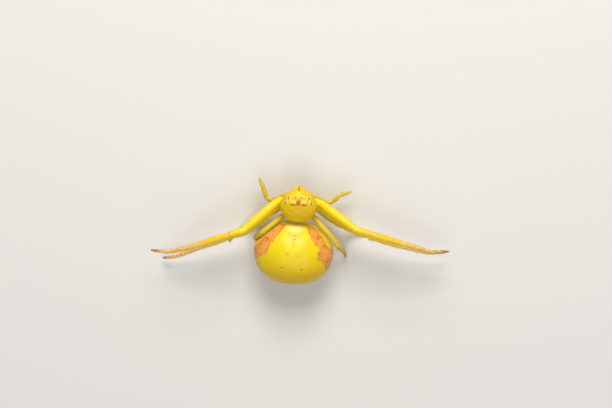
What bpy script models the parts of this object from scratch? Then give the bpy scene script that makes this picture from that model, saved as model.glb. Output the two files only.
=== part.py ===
"""A female goldenrod crab spider at life size, waiting with her two front pairs of legs held open.

Metres, +Z up. The floor is z = 0, her head points to -Y and her left side is +X. The origin is on the floor
below the middle of her box. Belly and the two hind pairs of feet rest on the floor. Nothing moves.
"""

import math

import bmesh
import bpy
from mathutils import Matrix, Vector
from mathutils.bvhtree import BVHTree

MM = 0.001

# Driving dimensions, in millimetres.
CARAPACE_LENGTH = 2.95
CARAPACE_WIDTH = 2.95
CARAPACE_HEIGHT = 1.12
BREAST_DEPTH = 0.85
CLYPEUS_EDGE = 0.40
# How much narrower the face is than the shield, and how the throat below it draws in and slopes back.
FACE_TAPER = 0.24
THROAT_TAPER = 0.20
THROAT_SLOPE = 0.45
ABDOMEN_LENGTH = 5.25
ABDOMEN_WIDTH = 6.34
ABDOMEN_TOP = 2.28
ABDOMEN_BELLY = 2.26
NODE_GAP = 0.30
EYE_GAP = 0.04
# The room left round a limb, a palp or a chelicera where the head's wall would meet it.
POCKET_GAP = 0.15
# Limb ends: how far their rim is rounded back, and how much narrower their flat face is.
RIM = 0.07
RIM_SHARE = 0.72

# The head frame: its origin is the middle of the carapace's rear margin, -Y is forward along the carapace.
HEAD_ORIGIN = Vector((-0.10, 0.0, 2.55))
HEAD_PITCH = math.radians(17.0)
HEAD_YAW = math.radians(3.5)
ABDOMEN_CENTRE = Vector((0.0, 2.84, 2.20))
ABDOMEN_YAW = math.radians(2.0)

# Limb segments in order: lengths, then the radius at each end and at the swollen middle of the first one.
LEG_LENGTHS = {
    1: {"femur": 3.80, "patella": 1.20, "tibia": 2.65, "metatarsus": 2.40, "tarsus": 1.45},
    2: {"femur": 3.40, "patella": 1.20, "tibia": 2.80, "metatarsus": 2.45, "tarsus": 1.40},
    3: {"femur": 2.00, "patella": 0.85, "tibia": 1.30, "metatarsus": 1.00, "tarsus": 0.75},
    4: {"femur": 2.30, "patella": 0.93, "tibia": 1.40, "metatarsus": 1.10, "tarsus": 0.80},
}
LEG_RADII = {
    1: {"base": 0.25, "femur": 0.36, "knee": 0.29, "tibia": 0.27, "ankle": 0.25, "sole": 0.22, "tip": 0.09},
    2: {"base": 0.25, "femur": 0.36, "knee": 0.29, "tibia": 0.27, "ankle": 0.25, "sole": 0.22, "tip": 0.09},
    3: {"base": 0.21, "femur": 0.25, "knee": 0.23, "tibia": 0.22, "ankle": 0.20, "sole": 0.18, "tip": 0.09},
    4: {"base": 0.21, "femur": 0.24, "knee": 0.22, "tibia": 0.22, "ankle": 0.20, "sole": 0.18, "tip": 0.09},
}
SEGMENTS = ("femur", "patella", "tibia", "metatarsus", "tarsus")
# Where each femur starts, in the head frame: out to the side, forward, up from the margin.
LEG_BASES = {1: (1.58, 1.50, -0.38), 2: (1.62, 0.93, -0.66), 3: (1.38, 0.48, -0.92), 4: (1.16, -0.05, -0.56)}
# The pose, in degrees a segment: how far it is swept back from straight out, and how far it rises.
LEG_SWEEP = {
    ("left", 1): (43, 20, 25, 23, 3),
    ("right", 1): (26, 8, 11, 13, -4),
    ("left", 2): (45, 25, 30, 34, 23),
    ("right", 2): (29, 12, 14, 12, -5),
    ("left", 3): (39, 40, 44, 52, 52),
    ("right", 3): (34, 32, 26, 22, 22),
    ("left", 4): (39, 54, 88, 125, 120),
    ("right", 4): (38, 51, 62, 70, 70),
}
LEG_RISE = {
    ("left", 1): (22, 10, 0, -8, -10),
    ("right", 1): (22, 10, 0, -8, -10),
    ("left", 2): (10, -3, -12, -20, -28),
    ("right", 2): (8, 2, -6, -12, -14),
    ("left", 3): (-22, -14, -24, -24, None),
    ("right", 3): (-14, -18, -30, -30, None),
    ("left", 4): (25, -38, -68, -50, None),
    ("right", 4): (20, 2, -60, -66, None),
}
FOOT_HEIGHT = 0.10

PALP_BASE = (0.62, 2.05, -0.80)
PALP_LENGTHS = (2.06, 0.52, 0.80, 1.05)
PALP_RADII = (0.17, 0.21, 0.20, 0.19, 0.09)
PALP_SWEEP = {"left": (37, -31, -70, -65), "right": (30, -22, -51, -27)}
PALP_RISE = {"left": (-22, -2, 12, 9), "right": (-24, -2, 11, 6)}

# Each chelicera's axis in the head frame, from under the clypeus to its tip.
CHELICERA_ROOT = (0.31, 2.70, 0.12)
CHELICERA_TIP = (0.22, 2.66, -0.50)
CHELICERA_RADII = (0.20, 0.24, 0.22, 0.15, 0.09)

# Eyes: out to the side, forward, up, and radius.
EYES = {
    "anterior_median": (0.25, 2.75, 0.88, 0.080),
    "anterior_lateral": (0.77, 2.48, 0.72, 0.105),
    "posterior_median": (0.40, 2.20, 1.10, 0.080),
    "posterior_lateral": (0.97, 2.10, 0.80, 0.100),
}
EYE_AIM = (0.0, 1.90, 0.30)
# The side eyes sit on swellings; each kind of eye stands this far out of the wall.
EYE_LIFT = {"lateral": 0.07, "median": 0.02}
TUBERCLE = 0.19

# The waist, from inside the carapace's rear to just short of the abdomen.
PEDICEL_ROOT = (0.0, 0.55, -0.35)
PEDICEL_END = (-0.08, 2.12)
PEDICEL_RADII = (0.30, 0.24, 0.20)

# Coxae grow from the breast plate at these shares of the way out to the femora.
COXA_OUT = 0.42
COXA_FORWARD = (0.75, 0.36)
COXA_HEIGHT = -0.42
TROCHANTER = 0.16

# Spinnerets: the angle below the tail, then the cushion and its six cones.
SPINNERET_ANGLE = math.radians(36.0)
SPINNERET_SLOPE = math.radians(40.0)
CUSHION_RADII = (0.34, 0.38, 0.30)
CONE_LENGTH = 0.30
CONE_CIRCLE = 0.17
CONE_RADII = (0.13, 0.05)

YELLOW = (0.82, 0.62, 0.02, 1.0)
PALE_YELLOW = (0.88, 0.72, 0.12, 1.0)
AMBER = (0.72, 0.45, 0.06, 1.0)
EYE_BLACK = (0.02, 0.015, 0.01, 1.0)

for leftover in list(bpy.data.objects):
    bpy.data.objects.remove(leftover, do_unlink=True)

spider = bpy.data.collections.new("crab_spider")
bpy.context.scene.collection.children.link(spider)
cutters = bpy.data.collections.new("cutters")
bpy.context.scene.collection.children.link(cutters)

head_frame = (
    Matrix.Translation(HEAD_ORIGIN) @ Matrix.Rotation(HEAD_YAW, 4, "Z") @ Matrix.Rotation(-HEAD_PITCH, 4, "X")
)


def in_head(side, forward, up):
    """A point of the head frame, in the object's millimetres."""
    return head_frame @ Vector((side, -forward, up))


def finish(name, colour, roughness):
    """A plain coat for one node."""
    material = bpy.data.materials.new(name)
    material.use_nodes = True
    shader = material.node_tree.nodes["Principled BSDF"]
    shader.inputs["Base Color"].default_value = colour
    shader.inputs["Roughness"].default_value = roughness
    return material


def mesh_object(name, mesh):
    obj = bpy.data.objects.new(name, mesh)
    cutters.objects.link(obj)
    return obj


def drop(obj):
    mesh = obj.data
    bpy.data.objects.remove(obj, do_unlink=True)
    bpy.data.meshes.remove(mesh)


def tube(name, stations, sides=10):
    """A round limb through (point, radius) stations in millimetres, with flat ends."""
    curve = bpy.data.curves.new(name, "CURVE")
    curve.dimensions = "3D"
    curve.bevel_depth = MM
    curve.bevel_resolution = sides // 2 - 2
    curve.use_fill_caps = True
    spline = curve.splines.new("POLY")
    spline.points.add(len(stations) - 1)
    for point, (place, radius) in zip(spline.points, stations):
        point.co = (*(place * MM), 1.0)
        point.radius = radius
    guide = bpy.data.objects.new(name, curve)
    cutters.objects.link(guide)
    bpy.context.view_layer.update()
    evaluated = guide.evaluated_get(bpy.context.evaluated_depsgraph_get())
    mesh = bpy.data.meshes.new_from_object(evaluated)
    bm = bmesh.new()
    bm.from_mesh(mesh)
    bmesh.ops.remove_doubles(bm, verts=bm.verts, dist=0.0005 * MM)
    bmesh.ops.recalc_face_normals(bm, faces=bm.faces)
    bm.to_mesh(mesh)
    bm.free()
    obj = mesh_object(name, mesh)
    obj.matrix_world = guide.matrix_world
    bpy.data.objects.remove(guide, do_unlink=True)
    bpy.data.curves.remove(curve)
    return obj


def ball(name, centre, radius, rings=8):
    """A sphere in millimetres."""
    bm = bmesh.new()
    bmesh.ops.create_uvsphere(bm, u_segments=rings + 4, v_segments=rings, radius=radius * MM)
    bmesh.ops.translate(bm, vec=centre * MM, verts=bm.verts)
    mesh = bpy.data.meshes.new(name)
    bm.to_mesh(mesh)
    bm.free()
    return mesh_object(name, mesh)


def combine(obj, others, operation):
    """Joins the others to obj, or cuts them from it, and removes them."""
    group = bpy.data.collections.new("group")
    bpy.context.scene.collection.children.link(group)
    for other in others:
        group.objects.link(other)
        other.hide_render = True
        other.display_type = "WIRE"
    step = obj.modifiers.new(operation, "BOOLEAN")
    step.operation = operation
    step.operand_type = "COLLECTION"
    step.collection = group
    step.solver = "MANIFOLD"
    bpy.context.view_layer.update()
    evaluated = obj.evaluated_get(bpy.context.evaluated_depsgraph_get())
    mesh = bpy.data.meshes.new_from_object(evaluated)
    obj.modifiers.remove(step)
    obj.data = mesh
    for other in others:
        drop(other)
    bpy.data.collections.remove(group)
    keep_largest(obj)


def keep_largest(obj):
    """Leaves only the largest closed surface of the mesh."""
    bm = bmesh.new()
    bm.from_mesh(obj.data)
    bmesh.ops.remove_doubles(bm, verts=bm.verts, dist=0.0005 * MM)
    todo = set(bm.verts)
    islands = []
    while todo:
        island = {todo.pop()}
        edge = list(island)
        while edge:
            vertex = edge.pop()
            near = {link.other_vert(vertex) for link in vertex.link_edges} & todo
            todo -= near
            island |= near
            edge.extend(near)
        islands.append(island)
    largest = max(islands, key=len)
    bmesh.ops.delete(bm, geom=[v for v in bm.verts if v not in largest], context="VERTS")
    bmesh.ops.triangulate(bm, faces=bm.faces)
    bm.to_mesh(obj.data)
    bm.free()


def rest_flat(obj):
    """Presses whatever reaches below the floor into a small flat on it."""
    for vertex in obj.data.vertices:
        vertex.co.z = max(vertex.co.z, 0.0)


def make_node(obj, name, colour, roughness=0.45):
    obj.name = name
    for owner in list(obj.users_collection):
        owner.objects.unlink(obj)
    spider.objects.link(obj)
    obj.hide_render = False
    obj.display_type = "TEXTURED"
    obj.data.materials.clear()
    obj.data.materials.append(finish(name, colour, roughness))
    obj.data.shade_smooth()
    obj.data.set_sharp_from_angle(angle=math.radians(50.0))
    return obj


def rounded_solid(name, shape, segments, rings):
    """A sphere reshaped by a function of its heading and elevation, both in radians."""
    bm = bmesh.new()
    bmesh.ops.create_uvsphere(bm, u_segments=segments, v_segments=rings, radius=1.0)
    for vertex in bm.verts:
        unit = vertex.co.normalized()
        heading = math.atan2(unit.x, -unit.y)
        vertex.co = shape(heading, math.asin(max(-1.0, min(1.0, unit.z)))) * MM
    bmesh.ops.recalc_face_normals(bm, faces=bm.faces)
    mesh = bpy.data.meshes.new(name)
    bm.to_mesh(mesh)
    bm.free()
    return mesh_object(name, mesh)


def blunt(heading, power):
    """How far a superellipse of this power reaches at a heading, against a unit circle."""
    return (abs(math.sin(heading)) ** power + abs(math.cos(heading)) ** power) ** (-1.0 / power)


def squared(value, power):
    return math.copysign(abs(value) ** (2.0 / power), value)


def carapace_shape(heading, elevation):
    """The cephalothorax in the head frame: a steep-sided, blunt-fronted shield over a shallower breast."""
    front = max(0.0, math.cos(heading))
    reach = blunt(heading, 2.1 + 0.6 * front)
    power = 2.6 if elevation >= 0.0 else 1.7
    spread = squared(math.cos(elevation), power)
    height = squared(math.sin(elevation), power)
    below = max(0.0, -height)
    narrow = 1.0 - front * (FACE_TAPER + THROAT_TAPER * below)
    side = 0.5 * CARAPACE_WIDTH * reach * spread * math.sin(heading) * narrow
    ahead = reach * spread * math.cos(heading) * (1.0 - THROAT_SLOPE * front * below)
    forward = 0.5 * CARAPACE_LENGTH * (1.0 + ahead)
    brow = max(0.0, (forward - 2.0) / (CARAPACE_LENGTH - 2.0))
    top = CARAPACE_HEIGHT * (1.0 - 0.17 * brow * brow)
    edge = CLYPEUS_EDGE * math.exp(-((heading / 0.55) ** 2))
    if elevation >= 0.0:
        up = edge + (top - edge) * height
    else:
        up = edge + (BREAST_DEPTH + edge) * height
    return in_head(side, forward, up)


def abdomen_shape(heading, elevation):
    """The abdomen: a broad, slightly blunt ball, pressed flat where it touches the floor."""
    reach = blunt(heading, 2.0 + (-0.22 if math.cos(heading) > 0.0 else -0.3) * math.cos(heading))
    spread = squared(math.cos(elevation), 2.1)
    height = squared(math.sin(elevation), 2.1)
    depth = ABDOMEN_TOP if elevation >= 0.0 else ABDOMEN_BELLY
    across = 0.5 * ABDOMEN_WIDTH * reach * spread * math.sin(heading)
    back = -0.5 * ABDOMEN_LENGTH * reach * spread * math.cos(heading)
    return ABDOMEN_CENTRE + Matrix.Rotation(ABDOMEN_YAW, 3, "Z") @ Vector((across, back, depth * height))


def heading_vector(side, sweep, rise):
    """The direction of a limb segment: out to its side, swept back and raised by these degrees."""
    back = math.radians(sweep)
    up = math.radians(rise)
    return Vector((side * math.cos(back) * math.cos(up), math.sin(back) * math.cos(up), math.sin(up)))


def leg_joints(name, pair, side):
    """The five segments' joints from the femur's start to the claws, in millimetres."""
    out, forward, up = LEG_BASES[pair]
    joints = [in_head(side * out, forward, up)]
    for segment, sweep, rise in zip(SEGMENTS, LEG_SWEEP[name, pair], LEG_RISE[name, pair]):
        length = LEG_LENGTHS[pair][segment]
        if rise is None:
            rise = -math.degrees(math.asin((joints[-1].z - FOOT_HEIGHT) / length))
        joints.append(joints[-1] + length * heading_vector(side, sweep, rise))
    return joints


def along(start, end, steps):
    """Stations between two joints from (share of the way, radius) pairs."""
    return [(start.lerp(end, share), radius) for share, radius in steps]


def face_on(joint, towards, radius):
    """The end of a limb segment at a joint: half the node gap off it, with a rounded rim."""
    direction = (towards - joint).normalized()
    face = joint + direction * 0.5 * NODE_GAP
    return [(face, RIM_SHARE * radius), (face + direction * RIM, radius)]


def bend(before, corner, after, radius, reach):
    """Three stations that round a corner between two straight lengths."""
    enter = corner + (before - corner).normalized() * reach
    leave = corner + (after - corner).normalized() * reach
    middle = 0.25 * enter + 0.5 * corner + 0.25 * leave
    return [(enter, radius), (middle, radius), (leave, radius)]


def femur_stations(joints, radii):
    swell = radii["femur"]
    shape = (
        (0.10, 0.5 * (radii["base"] + swell)),
        (0.28, 0.97 * swell),
        (0.50, swell),
        (0.75, 0.95 * swell),
        (0.92, 0.5 * (radii["knee"] + swell)),
    )
    first = face_on(joints[0], joints[1], radii["base"])
    last = face_on(joints[1], joints[0], radii["knee"])
    return first + along(first[0][0], last[0][0], shape) + last[::-1]


def tibia_stations(joints, radii):
    """Patella and tibia in one length, with the waist between them."""
    knee, waist, ankle = joints[1], joints[2], joints[3]
    first = face_on(knee, waist, radii["knee"])
    last = face_on(ankle, waist, radii["ankle"])
    stations = first + along(first[0][0], waist, ((0.45, 1.06 * radii["knee"]),))
    stations += bend(knee, waist, ankle, 0.92 * radii["tibia"], 0.12)
    stations += along(waist, last[0][0], ((0.30, 1.05 * radii["tibia"]), (0.65, radii["tibia"])))
    return stations + last[::-1]


def foot_stations(joints, radii):
    """Metatarsus and tarsus in one length, drawn to the small claws at the tip."""
    ankle, sole, tip = joints[3], joints[4], joints[5]
    first = face_on(ankle, sole, radii["ankle"])
    stations = first + along(first[0][0], sole, ((0.5, 0.96 * radii["ankle"]),))
    stations += bend(ankle, sole, tip, radii["sole"], 0.10)
    stations += along(sole, tip, ((0.40, 0.94 * radii["sole"]), (0.75, 0.78 * radii["sole"])))
    stations += [(tip, radii["tip"]), (tip + (tip - sole).normalized() * 0.06, 0.5 * radii["tip"])]
    return stations


def stub_stations(joints, radii, side, pair):
    """Coxa and trochanter, from the breast plate out to the femur's start."""
    out, forward, _ = LEG_BASES[pair]
    root = in_head(side * COXA_OUT * out, COXA_FORWARD[0] * forward + COXA_FORWARD[1], COXA_HEIGHT)
    femur = (joints[1] - joints[0]).normalized()
    end = joints[0] - femur * 0.5 * NODE_GAP
    neck = end - femur * TROCHANTER
    return [
        (root, 0.8 * radii["femur"]),
        (root.lerp(neck, 0.62), 0.95 * radii["femur"]),
        (neck, 1.08 * radii["base"]),
        (end, 0.80 * radii["base"]),
    ]


def palp_joints(name, side):
    joints = [in_head(side * PALP_BASE[0], PALP_BASE[1], PALP_BASE[2])]
    for length, sweep, rise in zip(PALP_LENGTHS, PALP_SWEEP[name], PALP_RISE[name]):
        joints.append(joints[-1] + length * heading_vector(side, sweep, rise))
    return joints


def palp_stations(joints):
    """The palp in one length, with its elbow and two joints rounded."""
    root, elbow, wrist, hand, tip = joints
    radii = PALP_RADII
    stations = [(root, 0.8 * radii[0]), (root.lerp(elbow, 0.05), radii[0]), (root.lerp(elbow, 0.5), radii[1])]
    stations += bend(root, elbow, wrist, radii[1], 0.16)
    stations += bend(elbow, wrist, hand, radii[2], 0.16)
    stations += bend(wrist, hand, tip, radii[3], 0.12)
    stations += along(hand, tip, ((0.55, 0.85 * radii[3]), (0.88, 0.60 * radii[3]), (1.0, 0.5 * radii[4])))
    return stations


def chelicera_stations(side):
    root = in_head(side * CHELICERA_ROOT[0], CHELICERA_ROOT[1], CHELICERA_ROOT[2])
    tip = in_head(side * CHELICERA_TIP[0], CHELICERA_TIP[1], CHELICERA_TIP[2])
    shares = (0.0, 0.22, 0.55, 0.88, 1.0)
    return [(root.lerp(tip, share), radius) for share, radius in zip(shares, CHELICERA_RADII)]


def pocket_around(stations, before, after):
    """The room that a neighbouring piece needs: its own stations made wider and longer."""
    (first, _), (last, _) = stations[0], stations[-1]
    lead = (first - stations[1][0]).normalized() * before
    tail = (last - stations[-2][0]).normalized() * after
    widened = [(place, radius + POCKET_GAP) for place, radius in stations]
    widened[0] = (first + lead, max(widened[0][1], widened[1][1]))
    widened[-1] = (last + tail, max(widened[-1][1], widened[-2][1]))
    return tube("pocket", widened, 8)


def build_cephalothorax(legs):
    body = rounded_solid("cephalothorax", carapace_shape, 36, 20)
    tree = BVHTree.FromPolygons(
        [tuple(v.co) for v in body.data.vertices], [tuple(p.vertices) for p in body.data.polygons]
    )
    aim = in_head(*EYE_AIM) * MM
    sockets = []
    bumps = []
    eyes = []
    for side_name, side in (("left", 1), ("right", -1)):
        for eye, (out, forward, up, radius) in EYES.items():
            target = in_head(side * out, forward, up) * MM
            hit, normal, _, _ = tree.ray_cast(aim, (target - aim).normalized())
            surface = hit / MM
            kind = eye.split("_")[1]
            centre = surface + normal * (EYE_LIFT[kind] - 0.25 * radius)
            if kind == "lateral":
                inside = surface + normal * (EYE_LIFT[kind] - TUBERCLE)
                bumps.append(ball("tubercle", inside, TUBERCLE * 1.05))
            sockets.append(ball("socket", centre, radius + EYE_GAP))
            eyes.append((f"eye_{eye}_{side_name}", centre, radius))
    stubs = []
    pockets = []
    for (_, pair, side), joints in legs:
        stubs.append(tube("coxa", stub_stations(joints, LEG_RADII[pair], side, pair)))
        pockets.append(pocket_around(femur_stations(joints, LEG_RADII[pair])[:5], 0.10, 0.0))
    root = in_head(*PEDICEL_ROOT)
    end = Vector((0.5 * root.x, *PEDICEL_END))
    places = (root, root.lerp(end, 0.8), end)
    stem = tube("pedicel", list(zip(places, PEDICEL_RADII)))
    combine(body, bumps + stubs + [stem], "UNION")
    for name, side in (("left", 1), ("right", -1)):
        pockets.append(pocket_around(chelicera_stations(side), POCKET_GAP, 0.60))
        pockets.append(pocket_around(palp_stations(palp_joints(name, side))[:5], POCKET_GAP, 0.0))
    combine(body, sockets + pockets, "DIFFERENCE")
    make_node(body, "cephalothorax", YELLOW)
    for name, centre, radius in eyes:
        make_node(ball(name, centre, radius, 6), name, EYE_BLACK, 0.15)


def build_abdomen(legs):
    """The abdomen, dented a little where a hind leg lies against its shoulder."""
    body = rounded_solid("abdomen", abdomen_shape, 40, 24)
    dents = []
    for (_, pair, _), joints in legs:
        if pair == 4:
            dents.append(pocket_around(femur_stations(joints, LEG_RADII[pair]), 0.0, 0.0))
            dents.append(pocket_around(tibia_stations(joints, LEG_RADII[pair]), 0.0, 0.0))
    combine(body, dents, "DIFFERENCE")
    rest_flat(body)
    make_node(body, "abdomen", YELLOW)


def build_spinnerets():
    """Six short cones on a low cushion just off the abdomen's tail, pointing back and down."""
    out = Vector((0.0, math.cos(SPINNERET_SLOPE), -math.sin(SPINNERET_SLOPE)))
    base = abdomen_shape(math.pi, -SPINNERET_ANGLE) + out * NODE_GAP
    places = (base, base + out * 0.12, base + out * 0.24)
    cushion = tube("spinnerets", list(zip(places, CUSHION_RADII)))
    upward = Vector((0.0, math.sin(SPINNERET_SLOPE), math.cos(SPINNERET_SLOPE)))
    cones = []
    for number in range(6):
        turn = math.tau * (number + 0.5) / 6
        beside = Vector((math.cos(turn), 0.0, 0.0)) + math.sin(turn) * upward
        foot = base + out * 0.10 + beside * CONE_CIRCLE
        cones.append(tube("cone", [(foot, CONE_RADII[0]), (foot + out * CONE_LENGTH, CONE_RADII[1])], 8))
    combine(cushion, cones, "UNION")
    make_node(cushion, "spinnerets", AMBER)


legs = []
for pair in (1, 2, 3, 4):
    for side_name, side in (("left", 1), ("right", -1)):
        legs.append(((side_name, pair, side), leg_joints(side_name, pair, side)))

build_cephalothorax(legs)
build_abdomen(legs)
build_spinnerets()

for (side_name, pair, side), joints in legs:
    radii = LEG_RADII[pair]
    stem_name = f"leg{pair}_{side_name}_"
    make_node(tube("limb", femur_stations(joints, radii)), stem_name + "femur", YELLOW)
    make_node(tube("limb", tibia_stations(joints, radii)), stem_name + "tibia", PALE_YELLOW)
    foot = tube("limb", foot_stations(joints, radii))
    rest_flat(foot)
    make_node(foot, stem_name + "foot", AMBER)

for side_name, side in (("left", 1), ("right", -1)):
    make_node(tube("limb", palp_stations(palp_joints(side_name, side))), "palp_" + side_name, PALE_YELLOW)
    make_node(tube("limb", chelicera_stations(side)), "chelicera_" + side_name, YELLOW)

bpy.context.view_layer.update()
corners = [obj.matrix_world @ v.co for obj in spider.objects for v in obj.data.vertices]
middle = Vector(
    (
        0.5 * (min(c.x for c in corners) + max(c.x for c in corners)),
        0.5 * (min(c.y for c in corners) + max(c.y for c in corners)),
        min(c.z for c in corners),
    )
)
for obj in spider.objects:
    obj.location -= middle
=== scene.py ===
import math

import bmesh
import bpy
import numpy as np
from mathutils import Matrix, Vector


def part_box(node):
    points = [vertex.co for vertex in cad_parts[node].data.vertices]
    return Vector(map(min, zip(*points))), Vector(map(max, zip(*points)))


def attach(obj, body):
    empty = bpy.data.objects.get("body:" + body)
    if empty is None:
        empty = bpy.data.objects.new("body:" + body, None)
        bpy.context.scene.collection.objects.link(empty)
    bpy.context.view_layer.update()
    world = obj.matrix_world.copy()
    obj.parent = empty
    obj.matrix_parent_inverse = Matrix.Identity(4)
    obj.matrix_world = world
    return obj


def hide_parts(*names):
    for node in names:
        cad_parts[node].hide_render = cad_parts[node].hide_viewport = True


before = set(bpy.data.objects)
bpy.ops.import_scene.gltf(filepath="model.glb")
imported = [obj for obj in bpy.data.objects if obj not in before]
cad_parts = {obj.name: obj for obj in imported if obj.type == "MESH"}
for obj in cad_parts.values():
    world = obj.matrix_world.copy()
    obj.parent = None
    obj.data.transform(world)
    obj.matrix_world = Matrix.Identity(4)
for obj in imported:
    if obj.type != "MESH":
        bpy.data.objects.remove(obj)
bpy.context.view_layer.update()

# Abdomen. A broad sac of soft, taut cuticle over pale fat, carried on a thin waist and resting on its belly.
# It is made as a sphere reshaped by heading and elevation, in millimetres, with the shallow pits where the
# muscles hold the back pulled in.
ABDOMEN_CENTRE = np.array((0.0, 2.84, 2.20))
ABDOMEN_LENGTH = 5.25
ABDOMEN_WIDTH = 6.34
ABDOMEN_TOP = 2.28
ABDOMEN_BELLY = 2.26
ABDOMEN_YAW = 2.0
# Bluntness of the sac's outline from above: the power of a round one, and how it changes ahead and behind.
ROUND_POWER = 2.0
AHEAD_POWER = 0.22
BEHIND_POWER = 0.30
SIDE_POWER = 2.1
ABDOMEN_SIDES = 140
ABDOMEN_RINGS = 90
# Muscle pits of the back: heading and elevation in degrees, then radius and depth.
BACK_PITS = (
    (-1, 45, 0.13, 0.035),
    (-1, 53, 0.13, 0.030),
    (45, 78, 0.15, 0.035),
    (-47, 79, 0.15, 0.035),
    (136, 69, 0.13, 0.030),
    (-142, 69, 0.13, 0.030),
)


def blunt(heading, power):
    """How far a superellipse of this power reaches at a heading, against a unit circle."""
    return (np.abs(np.sin(heading)) ** power + np.abs(np.cos(heading)) ** power) ** (-1.0 / power)


def squared(value, power):
    """A sine or cosine bent towards that of a superellipse of this power."""
    return np.sign(value) * np.abs(value) ** (2.0 / power)


def abdomen_shape(heading, elevation):
    """Points of the abdomen's plain form, in millimetres."""
    ahead = np.cos(heading)
    reach = blunt(heading, ROUND_POWER - np.where(ahead > 0.0, AHEAD_POWER, BEHIND_POWER) * ahead)
    spread = squared(np.cos(elevation), SIDE_POWER)
    depth = np.where(elevation >= 0.0, ABDOMEN_TOP, ABDOMEN_BELLY)
    across = 0.5 * ABDOMEN_WIDTH * reach * spread * np.sin(heading)
    back = -0.5 * ABDOMEN_LENGTH * reach * spread * ahead
    turn = math.radians(ABDOMEN_YAW)
    return ABDOMEN_CENTRE + np.stack(
        (
            math.cos(turn) * across - math.sin(turn) * back,
            math.sin(turn) * across + math.cos(turn) * back,
            depth * squared(np.sin(elevation), SIDE_POWER),
        ),
        axis=-1,
    )


def closed_form(name, points, faces):
    """An object of one closed surface, with its faces turned outward."""
    mesh = bpy.data.meshes.new(name)
    mesh.from_pydata(points.tolist(), [], faces)
    bm = bmesh.new()
    bm.from_mesh(mesh)
    bmesh.ops.recalc_face_normals(bm, faces=bm.faces)
    bm.to_mesh(mesh)
    bm.free()
    obj = bpy.data.objects.new(name, mesh)
    bpy.context.scene.collection.objects.link(obj)
    return obj


def banded_faces(count, sides):
    """Faces over points that lie as a start point, rings of this many sides, and an end point."""
    faces = []
    for ring in range((count - 2) // sides - 1):
        for step in range(sides):
            a = 1 + ring * sides + step
            b = 1 + ring * sides + (step + 1) % sides
            faces.append((a, b, b + sides, a + sides))
    last = count - 1
    for step in range(sides):
        beside = (step + 1) % sides
        faces.append((0, 1 + beside, 1 + step))
        faces.append((last, last - sides + step, last - sides + beside))
    return faces


def reshaped_ball(name, shape, around, rings):
    """A closed ball whose points a shape function places from their heading and elevation."""
    elevations = np.linspace(-0.5 * math.pi, 0.5 * math.pi, rings + 1)
    headings = np.linspace(0.0, math.tau, around, endpoint=False)
    inner = np.array([(h, e) for e in elevations[1:-1] for h in headings])
    directions = np.vstack(((0.0, elevations[0]), inner, (0.0, elevations[-1])))
    points = shape(directions[:, 0], directions[:, 1])
    return closed_form(name, points, banded_faces(len(points), around))


def pitted_abdomen(heading, elevation):
    """The abdomen's form with its muscle pits pulled in."""
    points = abdomen_shape(heading, elevation)
    inward = ABDOMEN_CENTRE - points
    inward /= np.linalg.norm(inward, axis=1)[:, None]
    for pit_heading, pit_elevation, radius, depth in BACK_PITS:
        place = abdomen_shape(np.radians([pit_heading]), np.radians([pit_elevation]))
        away = np.linalg.norm(points - place, axis=1)
        points = points + inward * (depth * np.exp(-((away / radius) ** 2)))[:, None]
    return points


abdomen_form = reshaped_ball("abdomen_form", pitted_abdomen, ABDOMEN_SIDES, ABDOMEN_RINGS)

# Carapace and breast plate. One hard-shelled shield over head and chest, steep at the sides, with a blunt
# square front. Faint furrows fan out from its middle, and the outer eyes stand on low swellings.
CARAPACE_LENGTH = 2.95
CARAPACE_WIDTH = 2.95
CARAPACE_HEIGHT = 1.12
BREAST_DEPTH = 0.85
CLYPEUS_EDGE = 0.40
FACE_TAPER = 0.27
THROAT_TAPER = 0.20
THROAT_SLOPE = 0.45
HEAD_ORIGIN = Vector((-0.10, 0.0, 2.55))
HEAD_PITCH = math.radians(17.0)
HEAD_YAW = math.radians(3.5)
# Radii of the eyes on each side, whose places come from the solids.
EYE_RADII = {
    "anterior_median": 0.080,
    "anterior_lateral": 0.105,
    "posterior_median": 0.080,
    "posterior_lateral": 0.100,
}
# Radius of the swelling under an outer eye, how far its middle lies below the lens, and the same for the
# inner eyes, whose swelling is a multiple of the eye's own radius.
TUBERCLE = 0.19
TUBERCLE_SINK = 0.155
INNER_SWELL = 1.45
INNER_SINK = 0.075
HEAD_SIDES = 112
HEAD_RINGS = 72
# Middle of the furrows ahead of the shield's rear edge, their distance from it, their width and depth.
FURROW_MIDDLE = 0.95
FURROW_DISTANCE = 0.75
FURROW_WIDTH = 0.42
FURROW_DEPTH = 0.030
THORAX_PIT_RADIUS = 0.16
THORAX_PIT_DEPTH = 0.035
# The brow begins this far forward, where the shield's top starts to fall by this share of its height.
BROW_START = 2.0
BROW_FALL = 0.17
# Millimetres in a metre, and metres in a millimetre.
PER_METRE = 1000.0
MM = 0.001

head_frame = Matrix.Translation(HEAD_ORIGIN)
head_frame = head_frame @ Matrix.Rotation(HEAD_YAW, 4, "Z")
head_frame = head_frame @ Matrix.Rotation(-HEAD_PITCH, 4, "X")
head_matrix = np.array(head_frame)
# The solids were moved to stand over the middle of their box; everything made here follows them.
abdomen_low, abdomen_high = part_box("abdomen")
form_points = np.array([v.co for v in abdomen_form.data.vertices])
form_middle = 0.5 * (form_points.min(axis=0) + form_points.max(axis=0))
frame_shift = np.array(0.5 * (abdomen_low + abdomen_high)) * PER_METRE - form_middle
frame_shift[2] = 0.0


def in_head(side, forward, up):
    """A point of the head frame, in millimetres."""
    return head_frame @ Vector((side, -forward, up))


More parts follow.
